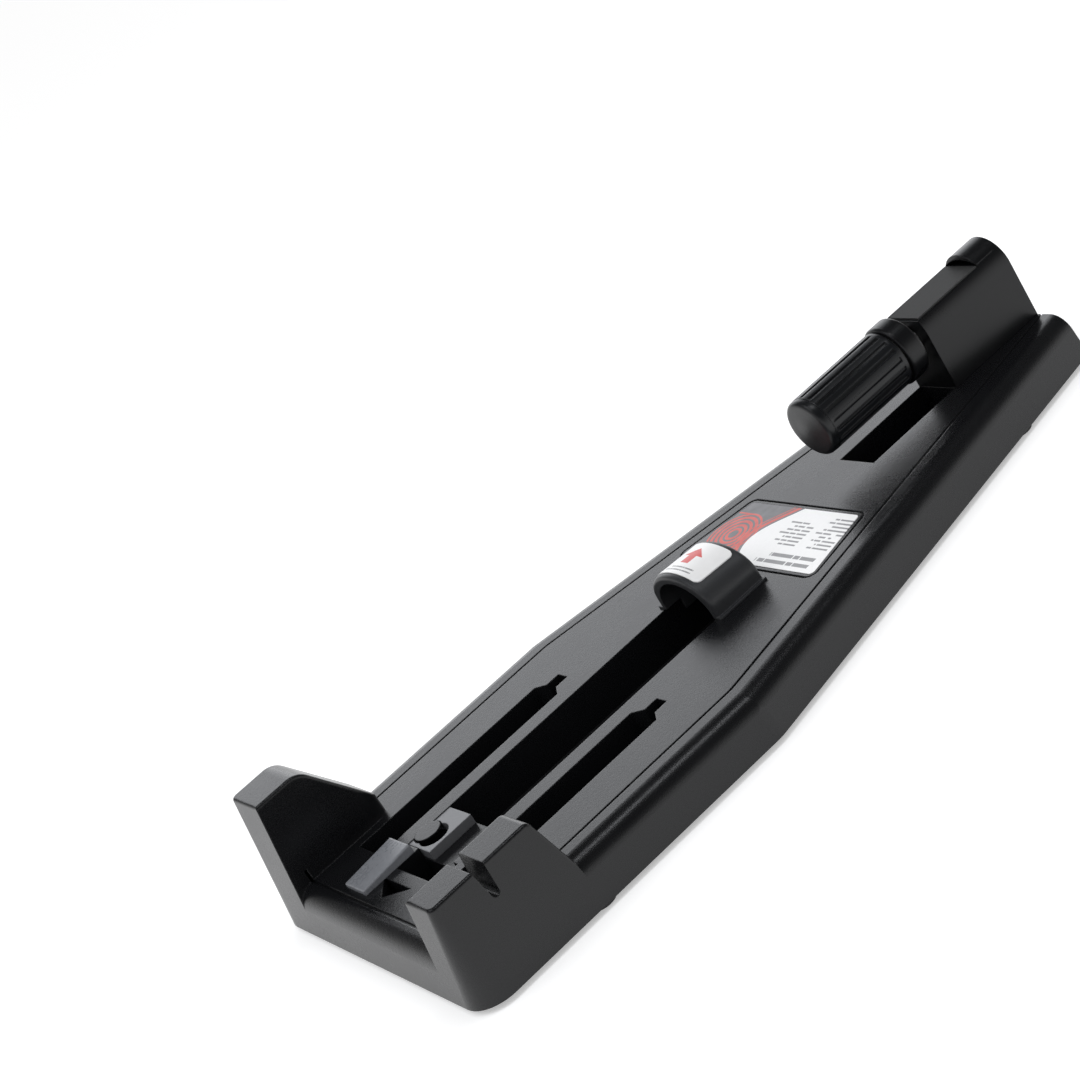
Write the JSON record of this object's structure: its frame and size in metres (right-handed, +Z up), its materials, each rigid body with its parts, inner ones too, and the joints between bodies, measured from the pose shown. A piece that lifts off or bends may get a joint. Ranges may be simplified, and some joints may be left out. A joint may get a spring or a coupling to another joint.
{
  "type": "fishing line winder",
  "caption": "Low tapered base with two front cheeks for a line spool rod, storage channels and a screw-clamped hooded seat for a reel foot.",
  "frame": {"origin": "under the middle of the part, on the surface that its feet stand on", "axes": "+X from the cheeks to the reel seat, +Y to the far (tall) cheek, +Z up"},
  "size_m": [0.354, 0.154, 0.0564],
  "materials": {
    "shell_plastic": "fine moulded grain, satin",
    "cover_plastic": "plain moulded",
    "clip_plastic": "satin",
    "hood_plastic": "semi-gloss",
    "knob_plastic": "satin",
    "label_film": "printed film",
    "pad_rubber": "matt",
    "foot_rubber": "matt",
    "stem_steel": "blackened thread",
    "screw_steel": "plated",
    "washer_nylon": "plain",
    "insert_brass": "turned"
  },
  "bodies": {
    "base": {"base_shell": "shell_plastic", "bottom_cover": "cover_plastic", "cover_screws": "screw_steel", "storage_clip": "clip_plastic", "rod_clip_plate": "clip_plastic", "tunnel_hood": "hood_plastic", "tunnel_label": "label_film", "info_label": "label_film", "reel_seat_block": "hood_plastic", "block_screws": "screw_steel", "saddle_pad": "pad_rubber", "threaded_stem": "stem_steel", "foot_front_near": "foot_rubber", "foot_front_far": "foot_rubber", "foot_rear_near": "foot_rubber", "foot_rear_far": "foot_rubber"},
    "collar": {"sliding_hood": "hood_plastic", "thrust_washer": "washer_nylon"},
    "knob": {"clamp_knob": "knob_plastic", "knob_insert": "insert_brass", "knob_end_cap": "knob_plastic"}
  },
  "joints": [
    {"name": "collar_slide", "type": "slide", "parent": "base", "child": "collar", "axis": [1, 0, 0], "range_m": [-0.016, 0.004]},
    {"name": "knob_turn", "type": "hinge", "parent": "collar", "child": "knob", "pos_m": [0.1161, 0, 0.04315], "axis": [1, 0, 0], "range_deg": [-2880, 720]}
  ],
  "couplings": [
    {"joint": "knob_turn", "follows": "collar_slide", "rad_per_m": 3141.5}
  ]
}
